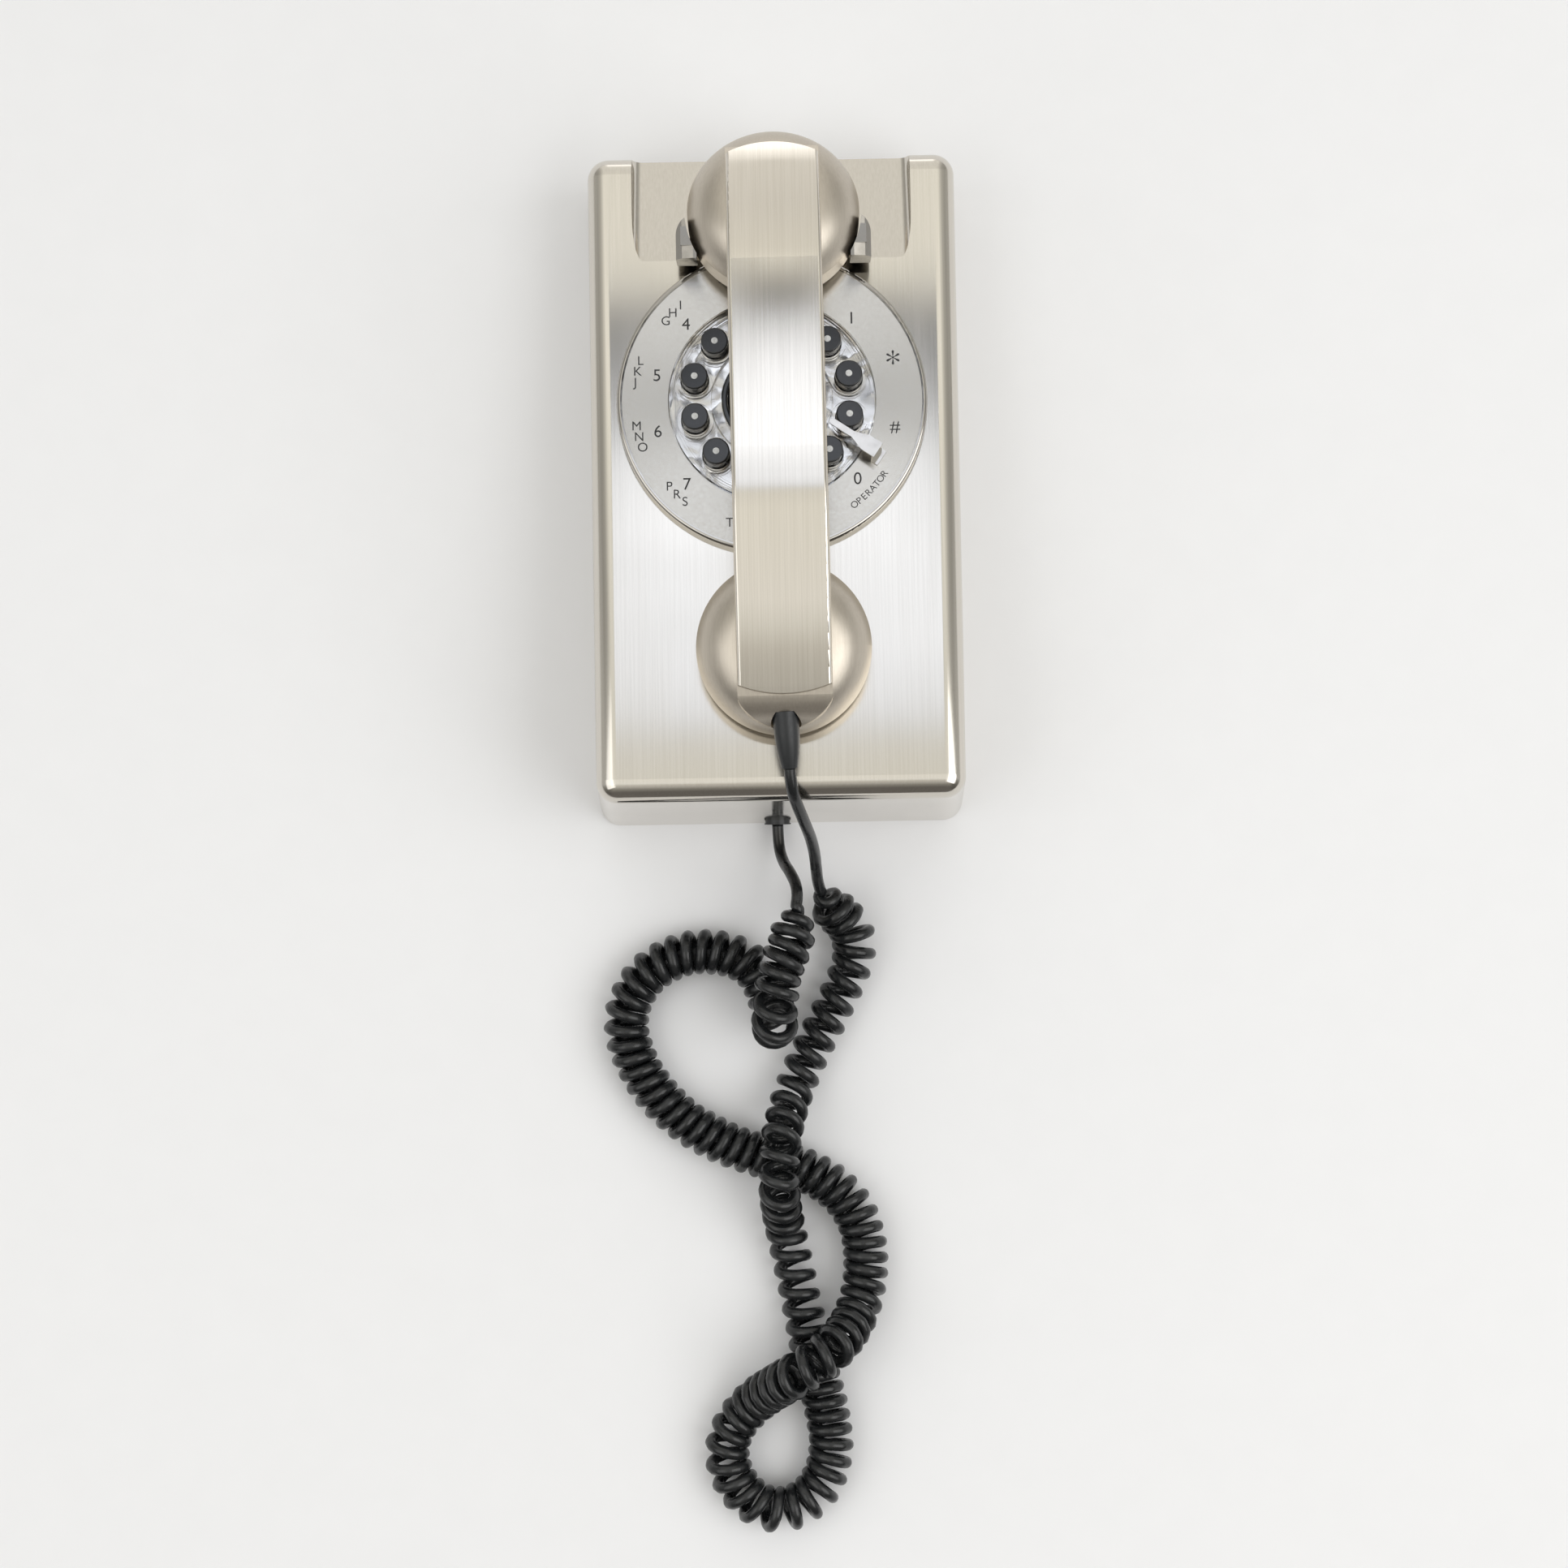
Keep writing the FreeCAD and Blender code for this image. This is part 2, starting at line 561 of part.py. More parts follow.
def above_strip():
    """Everything above the strip's underside, which the handset's shell keeps clear of."""
    x = -40.0
    edges, (mouth, ear) = back_curve(STRIP_THICKNESS + 0.05, -112.0, 112.0, x)
    high_ear = Vector(x, ear.y, 80)
    high_mouth = Vector(x, mouth.y, 80)
    edges.append(Part.LineSegment(ear, high_ear).toShape())
    edges.append(Part.LineSegment(high_ear, high_mouth).toShape())
    edges.append(Part.LineSegment(high_mouth, mouth).toShape())
    return Part.Face(Part.Wire(edges)).extrude(Vector(-2 * x, 0, 0))


def make_strip():
    """Curved cover plate along the handset's back."""
    x = -HANDLE_WIDTH / 2 - 2
    top, (top_mouth, top_ear) = back_curve(0.0, STRIP_MOUTH_END - 3, STRIP_EAR_END + 3, x)
    bottom, (low_mouth, low_ear) = back_curve(STRIP_THICKNESS, STRIP_MOUTH_END - 3, STRIP_EAR_END + 3, x)
    sides = [Part.LineSegment(top_ear, low_ear).toShape(), Part.LineSegment(low_mouth, top_mouth).toShape()]
    wire = Part.Wire(Part.__sortEdges__(top + bottom + sides))
    strip = Part.Face(wire).extrude(Vector(-2 * x, 0, 0))
    strip = strip.common(plan_of_strip(-0.25))
    upper = []
    for edge in strip.Edges:
        middle = edge.valueAt(0.5 * (edge.FirstParameter + edge.LastParameter))
        lengthwise = abs(edge.tangentAt(edge.FirstParameter).x) < 0.05 and edge.Length > 20
        if lengthwise and middle.z > back_height(middle.y) - 0.1:
            upper.append(edge)
    return round_edges(strip, upper, 1.1)


def back_height(y):
    """Height of the handset's back above the line through the cap centres."""
    start, radius = BEND_EAR if y > 0 else BEND_MOUTH
    past = max(0.0, abs(y) - abs(start))
    return HANDLE_TOP - (radius - math.sqrt(radius ** 2 - past ** 2))


def cap_place(side):
    """Placement of a cap: its Z runs from the cap's front into the cup."""
    return Placement(Vector(0, side * HALF_CHORD, 0), Rotation(X_AXIS, -side * CAP_TILT))


def at_cap(shape, side):
    placed = shape.copy()
    placed.Placement = cap_place(side).multiply(placed.Placement)
    return placed


def revolve(points_rz):
    """Solid of revolution about Z from an outline of straight lines in radius and height."""
    corners = [Vector(r, 0, z) for r, z in points_rz]
    return Part.Face(Part.makePolygon(corners + corners[:1])).revolve(Vector(0, 0, 0), Z_AXIS, 360)


def make_cup():
    """Domed cup behind a cap: a round shoulder that runs up to the handle."""
    start = Vector(CAP_RADIUS, 0, CAP_HEIGHT)
    bulge = Vector(CAP_RADIUS - 4.8, 0, CAP_HEIGHT + 8.0)
    end = Vector(10.0, 0, CAP_HEIGHT + 12.8)
    wire = Part.Wire([
        Part.LineSegment(Vector(0, 0, CAP_HEIGHT), start).toShape(),
        Part.Arc(start, bulge, end).toShape(),
        Part.LineSegment(end, Vector(0, 0, CAP_HEIGHT + 13.0)).toShape(),
        Part.LineSegment(Vector(0, 0, CAP_HEIGHT + 13.0), Vector(0, 0, CAP_HEIGHT)).toShape(),
    ])
    return Part.Face(wire).revolve(Vector(0, 0, 0), Z_AXIS, 360)


def make_handle():
    """Handle body under the strip: straight back, hollowed grip and a short chin at the mouthpiece end."""
    x = -HANDLE_WIDTH / 2
    edges, (top_mouth, top_ear) = back_curve(STRIP_THICKNESS + 0.05, STRIP_MOUTH_END, STRIP_EAR_END - 1.0, x)
    chin = (-105.5, 9.0)
    low_ear = (99.5, 9.0)
    under_mouth = (-84.0, 9.0)
    under_ear = (84.0, 9.0)
    edges.append(arc_between((top_ear.y, top_ear.z), (top_ear.y + 1.2, 16.0), low_ear, x))
    edges.append(Part.LineSegment(Vector(x, *low_ear), Vector(x, *under_ear)).toShape())
    edges.append(arc_between(under_ear, (0.0, HANDLE_UNDERSIDE), under_mouth, x))
    edges.append(Part.LineSegment(Vector(x, *under_mouth), Vector(x, *chin)).toShape())
    edges.append(arc_between(chin, (-102.5, 17.5), (top_mouth.y, top_mouth.z), x))
    wire = Part.Wire(Part.__sortEdges__(edges))
    handle = Part.Face(wire).extrude(Vector(HANDLE_WIDTH, 0, 0))
    grip = []
    for edge in handle.Edges:
        if edge.Length > 150 and edge.CenterOfMass.z < HANDLE_TOP - 10:
            grip.append(edge)
    handle = round_edges(handle, grip, 6.0)
    keep = block((-40, CHIN_START, -20), (40, HALF_CHORD, 60))
    keep = keep.fuse(at_cap(cylinder(TRIM_RADIUS, -20, 60), 1))
    centre = Vector(0, CHIN_START, -20)
    side_point = Vector(CHIN_HALF_WIDTH, CHIN_START, -20)
    end_point = Vector(0, CHIN_END, -20)
    chin = Part.Ellipse(side_point, end_point, centre).toShape()
    rounded = Part.Face(Part.Wire(chin)).extrude(Vector(0, 0, 80))
    return handle.common(keep.fuse(rounded))


def make_handset_shell():
    pieces = [make_handle()]
    for side in (-1, 1):
        pieces.append(at_cap(make_cup(), side))
    shell = pieces[0].fuse(pieces[1:])
    for side in (-1, 1):
        keep_front = at_cap(cylinder(60, -40, CAP_HEIGHT), side)
        shell = shell.cut(keep_front)
    channel = block((-11, -58, 21.5), (11, 58, 45))
    shell = shell.cut(channel)
    for side in (-1, 1):
        cavity = cylinder(24.6, CAP_HEIGHT - 1, 14.5).fuse(Part.makeCone(24.6, 15.6, 5.0, Vector(0, 0, 14.5)))
        shell = shell.cut(at_cap(cavity, side))
        shell = shell.fuse(at_cap(tube(26.6, 24.6, CAP_HEIGHT - 4.5, CAP_HEIGHT + 1.0), side))
    pocket = Part.makeCylinder(BOOT_COLLAR_RADIUS + 0.5, 10.0, BOOT_START, BOOT_AXIS)
    return shell.cut(above_strip()).cut(make_boot()).cut(pocket)


def make_boot():
    """Rubber sleeve with a collar where the cord leaves the mouthpiece end; its taper swells gently."""
    straight = 6.5
    middle_radius = 0.5 * (BOOT_BODY_RADIUS + BOOT_TIP_RADIUS) + 0.35
    corners = [(0, 0), (BOOT_COLLAR_RADIUS, 0), (BOOT_COLLAR_RADIUS, 1.2), (BOOT_BODY_RADIUS, 1.2),
               (BOOT_BODY_RADIUS, straight)]
    points = [Vector(r, 0, along) for r, along in corners]
    taper = Part.Arc(points[-1], Vector(middle_radius, 0, 0.5 * (straight + BOOT_LENGTH)),
                     Vector(BOOT_TIP_RADIUS, 0, BOOT_LENGTH)).toShape()
    end = [Vector(BOOT_TIP_RADIUS, 0, BOOT_LENGTH), Vector(0, 0, BOOT_LENGTH), points[0]]
    outline = Part.Wire([Part.makePolygon(points), taper, Part.makePolygon(end)])
    sleeve = Part.Face(outline).revolve(Vector(0, 0, 0), Z_AXIS, 360)
    shank = cylinder(BOOT_BODY_RADIUS - 1.35, -4.0, 0.5)
    boot = sleeve.fuse(shank)
    boot.Placement = Placement(BOOT_START, Rotation(Z_AXIS, BOOT_AXIS))
    return boot


def make_cap(hole_rings):
    """Round screw-on cap with a rolled edge and sound holes in its front."""
    cap = cylinder(CAP_RADIUS, 0, CAP_HEIGHT - 0.1)
    cap = round_edges(cap, [e for e in cap.Edges if e.CenterOfMass.z < 0.1], 3.0)
    cap = cap.cut(cylinder(26.8, 2.0, CAP_HEIGHT + 1))
    for ring_radius, count in hole_rings:
        for i in range(count):
            x, y = polar(ring_radius, 360.0 * i / count)
            cap = cap.cut(cylinder(1.2, -1, 3, x, y))
    return cap


def make_capsule():
    """Round capsule with a stepped back."""
    return cylinder(24.0, 2.3, 10.0).fuse(cylinder(15.0, 9.0, 14.0))


def make_weight():
    return block((-8, -30, 22), (8, 30, 31))


# ---------------------------------------------------------------- cord
def rounded_path(points):
    """Straight runs joined by tangent arcs, as large as the runs allow; also each arc's radius and turn."""
    edges = []
    bends = []
    last = points[0]
    for before, corner, after in zip(points, points[1:], points[2:]):
        run_in = corner - before
        run_out = after - corner
        setback = 0.45 * min(run_in.Length, run_out.Length)
        turn = run_in.getAngle(run_out)
        radius = setback / math.tan(turn / 2)
        bends.append((round(radius, 1), round(math.degrees(turn))))
        enter = corner - run_in.normalize() * setback
        leave = corner + run_out.normalize() * setback
        to_centre = (run_out - run_in).normalize()
        depth = radius / math.cos(turn / 2) - radius
        middle = corner + to_centre * depth
        edges.append(Part.LineSegment(last, enter).toShape())
        edges.append(Part.Arc(enter, middle, leave).toShape())
        last = leave
    edges.append(Part.LineSegment(last, points[-1]).toShape())
    return Part.Wire(edges), bends


def make_tube(name, points, diameter):
    """Plain tube along a route; prints its length, its volume against length times section, and its bends."""
    route = [Vector(*p) for p in points]
    path, bends = rounded_path(route)
    ring = Part.Wire(Part.makeCircle(diameter / 2, route[0], (route[1] - route[0]).normalize()))
    solid = path.makePipeShell([ring], True, False)
    volume = math.pi * (diameter / 2) ** 2 * path.Length
    print(name, "length", round(path.Length, 1), "volume ratio", round(solid.Volume / volume, 4))
    print("  radius and turn of each bend:", bends)
    return solid


CURLY_ROUTE = [
    (19.5, -151.0, 15.0), (24.8, -156.5, 11.5), (26.2, -165.0, 9.0), (23.7, -174.0, 8.5),
    (17.0, -187.5, 8.5), (8.4, -203.0, 8.5), (2.6, -216.0, 9.5), (-1.0, -226.0, 18.5),
    (-2.9, -235.0, 27.6), (-3.4, -247.5, 27.6), (-2.9, -256.5, 19.0), (-1.6, -265.5, 10.0),
    (1.2, -279.5, 8.5), (5.0, -299.6, 8.5), (8.6, -316.0, 8.5), (12.6, -333.0, 8.5),
    (15.0, -350.0, 8.5), (8.5, -365.5, 8.5), (-5.5, -372.0, 8.5), (-18.0, -366.0, 8.5),
    (-25.0, -353.0, 8.5), (-23.0, -340.5, 8.5), (-14.5, -330.5, 9.5), (-6.0, -323.0, 18.5),
    (2.6, -316.6, 27.6), (12.4, -310.0, 27.6), (18.8, -305.2, 21.5), (24.2, -298.4, 12.5),
    (27.6, -288.0, 8.5), (28.4, -273.0, 8.5), (23.6, -258.5, 8.5), (12.6, -248.4, 8.5),
    (-3.0, -242.0, 8.5), (-21.8, -236.6, 8.5), (-41.5, -225.0, 8.5), (-54.8, -207.5, 8.5),
    (-60.0, -189.0, 8.5), (-52.5, -173.0, 8.5), (-38.0, -165.0, 8.5), (-23.5, -164.5, 8.5),
    (-12.0, -169.5, 8.5), (-6.5, -178.0, 8.8), (-4.0, -190.0, 13.0), (-3.8, -193.0, 26.5),
    (-3.8, -183.0, 36.0), (-1.8, -170.0, 35.5), (3.0, -160.0, 33.5), (4.3, -150.0, 31.0),
]
HANDSET_LEAD_ROUTE = [
    (5.6, -111.5, 77.0), (8.0, -117.5, 67.0), (10.0, -122.5, 55.0), (11.4, -128.0, 43.5),
    (12.0, -134.0, 32.5), (12.6, -139.8, 24.4), (14.7, -146.0, 18.2), (19.5, -151.0, 15.0),
]
BASE_LEAD_ROUTE = [
    (-1.6, -118.5, 5.2), (-1.5, -126.5, 5.6), (0.3, -132.5, 12.0), (2.6, -135.5, 20.5),
    (5.4, -141.5, 28.9), (4.3, -150.0, 31.0),
]


# ---------------------------------------------------------------- assembly
def build():
    nodes["housing_shell"] = make_housing()
    nodes["base_plate"] = make_base_plate()
    nodes["base_screws"] = make_base_screws()
    nodes["screw_bosses"] = make_bosses()

    nodes["dial_bezel"] = at_dial(make_dial_bezel())
    nodes["dial_number_ring"] = at_dial(make_number_ring())
    nodes["dial_clear_dish"] = at_dial(make_dish())
    nodes["dial_hub_ring"] = at_dial(make_hub_ring())
    nodes["dial_centre_ring"] = at_dial(make_centre_ring())
    nodes["dial_centre_window"] = at_dial(make_centre_window())
    nodes["dial_frame"] = at_dial(make_dial_frame())
    nodes["keypad_mat"] = at_dial(make_keypad_mat())
    nodes["keypad_board"] = at_dial(make_keypad_board())
    nodes["finger_stop"] = at_dial(make_finger_stop())
    for name, x, y in button_places():
        nodes["button_" + name] = at_dial(make_button(x, y))

    nodes["main_board"] = make_main_board()
    nodes["board_components"] = make_board_parts()
    nodes["board_posts"] = make_board_posts()
    nodes["ringer"] = make_ringer()
    nodes["line_plug"] = make_line_plug()
    nodes["plug_holder"] = make_plug_holder()

    nodes["hook_bracket"] = make_hook_bracket()
    nodes["hook_pivot_pin"] = make_hook_pin()
    nodes["hook_spring"] = make_hook_spring()
    nodes["hook_switch"] = make_hook_switch()
    nodes["switch_plunger"] = make_switch_plunger()
    nodes["hook_cradle"] = make_hook()
    nodes["cord_grommet"] = make_grommet()

    nodes["handset_shell"] = at_handset(make_handset_shell())
    nodes["handset_strip"] = at_handset(make_strip())
    nodes["earpiece_cap"] = at_handset(at_cap(make_cap([(0.0, 1), (6.0, 6), (12.0, 12)]), 1))
    nodes["mouthpiece_cap"] = at_handset(at_cap(make_cap([(0.0, 1), (5.0, 6), (10.0, 10), (15.0, 15)]), -1))
    nodes["receiver_capsule"] = at_handset(at_cap(make_capsule(), 1))
    nodes["transmitter_capsule"] = at_handset(at_cap(make_capsule(), -1))
    nodes["handset_weight"] = at_handset(make_weight())
    nodes["handset_boot"] = at_handset(make_boot())

    boot_tip = HANDSET_PLACE.multVec(BOOT_START + BOOT_AXIS * BOOT_LENGTH)
    boot_out = HANDSET_PLACE.Rotation.multVec(BOOT_AXIS)
    lead_start = [tuple(boot_tip), tuple(boot_tip + boot_out * 8.0)]
    print("boot tip", [round(v, 2) for v in lead_start[0]], "then", [round(v, 2) for v in lead_start[1]])
    nodes["handset_lead"] = make_tube("handset lead", lead_start + HANDSET_LEAD_ROUTE, WIRE_DIAMETER)
    nodes["curly_cord"] = make_tube("curly cord", CURLY_ROUTE, COIL_DIAMETER)
    nodes["base_lead"] = make_tube("base lead", BASE_LEAD_ROUTE, WIRE_DIAMETER)

    os.makedirs("parts", exist_ok=True)
    for name, shape in nodes.items():
        box = shape.optimalBoundingBox(False, False)
        if not shape.isValid():
            print("NOT VALID", name)
        if box.ZMin < -0.001:
            print("below the back:", name, round(box.ZMin, 3))
        shape.exportStep("parts/" + name + ".step")
    print(len(nodes), "nodes")


build()
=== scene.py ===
"""Looks of a retro wall telephone with a dial of push buttons, a handset on a hook and a curly cord.

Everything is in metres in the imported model's frame: +Z out of the front, +Y towards the earpiece end.
"""
import json
import math

import bpy
from mathutils import Matrix, Vector


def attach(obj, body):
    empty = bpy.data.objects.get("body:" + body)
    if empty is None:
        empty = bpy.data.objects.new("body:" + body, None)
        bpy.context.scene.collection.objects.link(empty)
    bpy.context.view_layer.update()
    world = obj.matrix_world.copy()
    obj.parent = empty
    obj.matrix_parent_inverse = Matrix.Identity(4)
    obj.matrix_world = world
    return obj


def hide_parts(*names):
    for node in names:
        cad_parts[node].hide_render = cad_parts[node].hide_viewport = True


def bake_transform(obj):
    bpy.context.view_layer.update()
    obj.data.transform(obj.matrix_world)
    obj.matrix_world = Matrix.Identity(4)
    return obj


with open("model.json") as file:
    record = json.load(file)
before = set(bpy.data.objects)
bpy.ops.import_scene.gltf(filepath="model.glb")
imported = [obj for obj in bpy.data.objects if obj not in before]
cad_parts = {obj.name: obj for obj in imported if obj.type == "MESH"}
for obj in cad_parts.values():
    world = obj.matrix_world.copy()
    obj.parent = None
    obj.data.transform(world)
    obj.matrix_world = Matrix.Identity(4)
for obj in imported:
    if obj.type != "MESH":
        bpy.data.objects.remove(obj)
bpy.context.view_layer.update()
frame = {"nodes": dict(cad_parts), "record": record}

MM = 0.001

# ---------------------------------------------------------------- dial frame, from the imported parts
FACE_TILT = math.radians(7.5)
DIAL_CENTRE = Vector((-0.85, 30.0, 53.45)) * MM
RING_TOP = 4.4 * MM             # number ring's upper face above the housing's face
BUTTON_TOP = 11.6 * MM
BUTTON_CIRCLE = 27.8 * MM
BUTTON_NAMES = ["star", "1", "2", "3", "4", "5", "6", "7", "8", "9", "0", "hash"]
FIRST_BUTTON_ANGLE = 15         # degrees
BUTTON_ANGLE_STEP = 30
DOT_RADIUS = 1.15 * MM
DIAL_MATRIX = Matrix.Translation(DIAL_CENTRE) @ Matrix.Rotation(-FACE_TILT, 4, "X")

# ---------------------------------------------------------------- cord dimensions
WIRE_DIAMETER = 4.2 * MM
COIL_RADIUS = 6.4 * MM          # of the wire's centreline in a closed turn
CLOSED_PITCH = 5.1 * MM
OPEN_PITCH_GAIN = 2.2 * MM      # where the coil is pulled open
OPEN_NARROWING = 0.12           # share of the radius lost there
WINDING_EASE = 11 * MM          # length over which a lead runs into the coil
OPENING_EASE = 12 * MM
ROUTE_STEP = 0.5 * MM


# ================================================================ materials
class Surface:
    """A Principled material and short ways to feed its sockets from procedural textures."""

    def __init__(self, name, colour, roughness, metallic=0.0):
        self.material = bpy.data.materials.new(name)
        self.material.use_nodes = True
        self.tree = self.material.node_tree
        self.shader = self.tree.nodes["Principled BSDF"]
        self.shader.inputs["Base Color"].default_value = (*colour, 1)
        self.shader.inputs["Roughness"].default_value = roughness
        self.shader.inputs["Metallic"].default_value = metallic
        self.coords = self.tree.nodes.new("ShaderNodeTexCoord")

    def set(self, **values):
        for name, value in values.items():
            self.shader.inputs[name.replace("_", " ")].default_value = value
        return self

    def link(self, output, socket):
        self.tree.links.new(output, socket)

    def noise(self, scale, detail=3.0, roughness=0.5, distortion=0.0, tilt=0.0):
        """Noise value in 0 to 1, with a scale per axis in features per metre, after a turn about X."""
        turned = self.tree.nodes.new("ShaderNodeVectorRotate")
        turned.rotation_type = "X_AXIS"
        turned.inputs["Angle"].default_value = tilt
        mapping = self.tree.nodes.new("ShaderNodeMapping")
        mapping.inputs["Scale"].default_value = scale
        texture = self.tree.nodes.new("ShaderNodeTexNoise")
        texture.inputs["Scale"].default_value = 1.0
        texture.inputs["Detail"].default_value = detail
        texture.inputs["Roughness"].default_value = roughness
        texture.inputs["Distortion"].default_value = distortion
        self.link(self.coords.outputs["Object"], turned.inputs["Vector"])
        self.link(turned.outputs["Vector"], mapping.inputs["Vector"])
        self.link(mapping.outputs["Vector"], texture.inputs["Vector"])
        return texture.outputs["Fac"]

    def remap(self, value, low, high, start=0.3, end=0.7):
        """Value between start and end, mapped to low and high."""
        node = self.tree.nodes.new("ShaderNodeMapRange")
        node.inputs["From Min"].default_value = start
        node.inputs["From Max"].default_value = end
        node.inputs["To Min"].default_value = low
        node.inputs["To Max"].default_value = high
        self.link(value, node.inputs["Value"])
        return node.outputs["Result"]

    def blend(self, value, first, second):
        """Colour between first and second, by a value in 0 to 1."""
        node = self.tree.nodes.new("ShaderNodeMix")
        node.data_type = "RGBA"
        colour_inputs = [socket for socket in node.inputs if socket.type == "RGBA"]
        colour_inputs[0].default_value = (*first, 1)
        colour_inputs[1].default_value = (*second, 1)
        self.link(value, node.inputs["Factor"])
        return next(socket for socket in node.outputs if socket.type == "RGBA")

    def colour_from(self, value, first, second):
        self.link(self.blend(value, first, second), self.shader.inputs["Base Color"])

    def roughness_from(self, value, low, high):
        self.link(self.remap(value, low, high), self.shader.inputs["Roughness"])

    def bump_from(self, value, height):
        """Relief from a value in 0 to 1, of that height in metres."""
        node = self.tree.nodes.new("ShaderNodeBump")
        node.inputs["Strength"].default_value = 1.0
        node.inputs["Distance"].default_value = height
        self.link(value, node.inputs["Height"])
        self.link(node.outputs["Normal"], self.shader.inputs["Normal"])

    def brushed_about(self, axis):
        """Stretches the reflections round an axis, as brush marks along that axis do."""
        node = self.tree.nodes.new("ShaderNodeTangent")
        node.direction_type = "RADIAL"
        node.axis = axis
        self.link(node.outputs["Tangent"], self.shader.inputs["Tangent"])


def brushed_metal(name, light, dark, roughness, stretch, streak_height, deep=1900.0):
    """Metal with fine brush marks along the face.

    stretch widens the reflections across the marks, and deep is the marks' scale square to the face.
    """
    surface = Surface(name, light, roughness, metallic=1.0)
    surface.set(Anisotropic=stretch)
    streaks = surface.noise((1700.0, 16.0, deep), detail=3.0, roughness=0.6, tilt=FACE_TILT)
    clouds = surface.noise((35.0, 9.0, 35.0), detail=2.0)
    surface.colour_from(surface.remap(streaks, 0.0, 1.0, 0.35, 0.65), light, dark)
    surface.roughness_from(clouds, roughness * 0.88, roughness * 1.12)
    surface.bump_from(streaks, streak_height)
    surface.brushed_about("Y")
    return surface.material


def turned_metal(name, light, dark, roughness):
    """Metal with fine circular brush marks, whose reflections fan out from the centre."""
    surface = Surface(name, light, roughness, metallic=1.0)
    surface.set(Anisotropic=0.9, Anisotropic_Rotation=0.25)
    grain = surface.noise((900.0, 900.0, 900.0), detail=3.0)
    surface.colour_from(surface.remap(grain, 0.0, 1.0), light, dark)
    surface.roughness_from(grain, roughness * 0.93, roughness * 1.07)
    surface.bump_from(grain, 0.0004 * MM)
    surface.brushed_about("Z")
    return surface.material


def silvered_backing(name, light, dark):
    """Bright silvery backing with soft swirls, seen through the clear dish."""
    surface = Surface(name, light, 0.14, metallic=1.0)
    swirls = surface.noise((70.0, 70.0, 70.0), detail=0.5, roughness=0.3, distortion=1.6)
    surface.colour_from(surface.remap(swirls, 0.0, 1.0), light, dark)
    surface.roughness_from(swirls, 0.1, 0.2)
    surface.bump_from(swirls, 0.8 * MM)
    return surface.material


def satin_metal(name, light, dark, roughness):
    """Blasted metal finish with a very fine even grain."""
    surface = Surface(name, light, roughness, metallic=1.0)
    grain = surface.noise((2600.0, 2600.0, 2600.0), detail=2.0)
    streaks = surface.noise((1500.0, 60.0, 1500.0), detail=3.0)
    surface.colour_from(surface.remap(streaks, 0.0, 1.0), light, dark)
    surface.roughness_from(grain, roughness * 0.9, roughness * 1.1)
    surface.bump_from(grain, 0.004 * MM)
    return surface.material


def polished_metal(name, colour, roughness):
    surface = Surface(name, colour, roughness, metallic=1.0)
    wear = surface.noise((260.0, 260.0, 260.0), detail=5.0)
    surface.roughness_from(wear, roughness * 0.7, roughness * 1.5)
    surface.bump_from(surface.noise((90.0, 90.0, 90.0), detail=1.0), 0.02 * MM)
    return surface.material


def moulded_plastic(name, light, dark, roughness, grain_height=0.01 * MM):
    """Moulded plastic or rubber: slight clouding of the colour and a fine grain."""
    surface = Surface(name, light, roughness)
    clouds = surface.noise((60.0, 60.0, 60.0), detail=3.0)
    texture = surface.noise((900.0, 900.0, 900.0), detail=3.0)
    surface.colour_from(surface.remap(clouds, 0.0, 1.0), light, dark)
    surface.roughness_from(texture, roughness * 0.85, roughness * 1.15)
    surface.bump_from(texture, grain_height)
    return surface.material


def clear_plastic(name, tint, roughness=0.03):
    surface = Surface(name, tint, roughness)
    surface.set(Transmission_Weight=1.0, IOR=1.49)
    ripple = surface.noise((120.0, 120.0, 120.0), detail=1.0)
    surface.roughness_from(surface.noise((400.0, 400.0, 400.0)), roughness * 0.6, roughness * 1.4)
    surface.bump_from(ripple, 0.05 * MM)
    return surface.material


def circuit_board(name):
    """Green solder mask with a faint pattern of tracks."""
    surface = Surface(name, (0.03, 0.2, 0.08), 0.35)
    tracks = surface.noise((400.0, 80.0, 400.0), detail=0.0)
    surface.colour_from(surface.remap(tracks, 0.0, 1.0, 0.49, 0.51), (0.02, 0.13, 0.05), (0.05, 0.26, 0.1))
    surface.bump_from(tracks, 0.02 * MM)
    return surface.material


def printed_ink(name, colour):
    surface = Surface(name, colour, 0.4)
    coverage = surface.noise((1400.0, 1400.0, 1400.0), detail=2.0)
    darker = tuple(0.75 * part for part in colour)
    surface.colour_from(surface.remap(coverage, 0.0, 1.0), colour, darker)
    surface.roughness_from(coverage, 0.35, 0.5)
    return surface.material


def cord_jacket(name):
    """Glossy black vinyl: smooth, with faint dull scuffs."""
    surface = Surface(name, (0.012, 0.013, 0.014), 0.22)
    scuffs = surface.noise((150.0, 150.0, 150.0), detail=6.0, roughness=0.65)
    scuffed = surface.remap(scuffs, 0.0, 1.0, 0.5, 0.8)
    surface.colour_from(scuffed, (0.010, 0.011, 0.012), (0.03, 0.032, 0.034))
    surface.roughness_from(scuffs, 0.2, 0.34)
    surface.bump_from(surface.noise((700.0, 700.0, 700.0), detail=2.0), 0.012 * MM)
    return surface.material


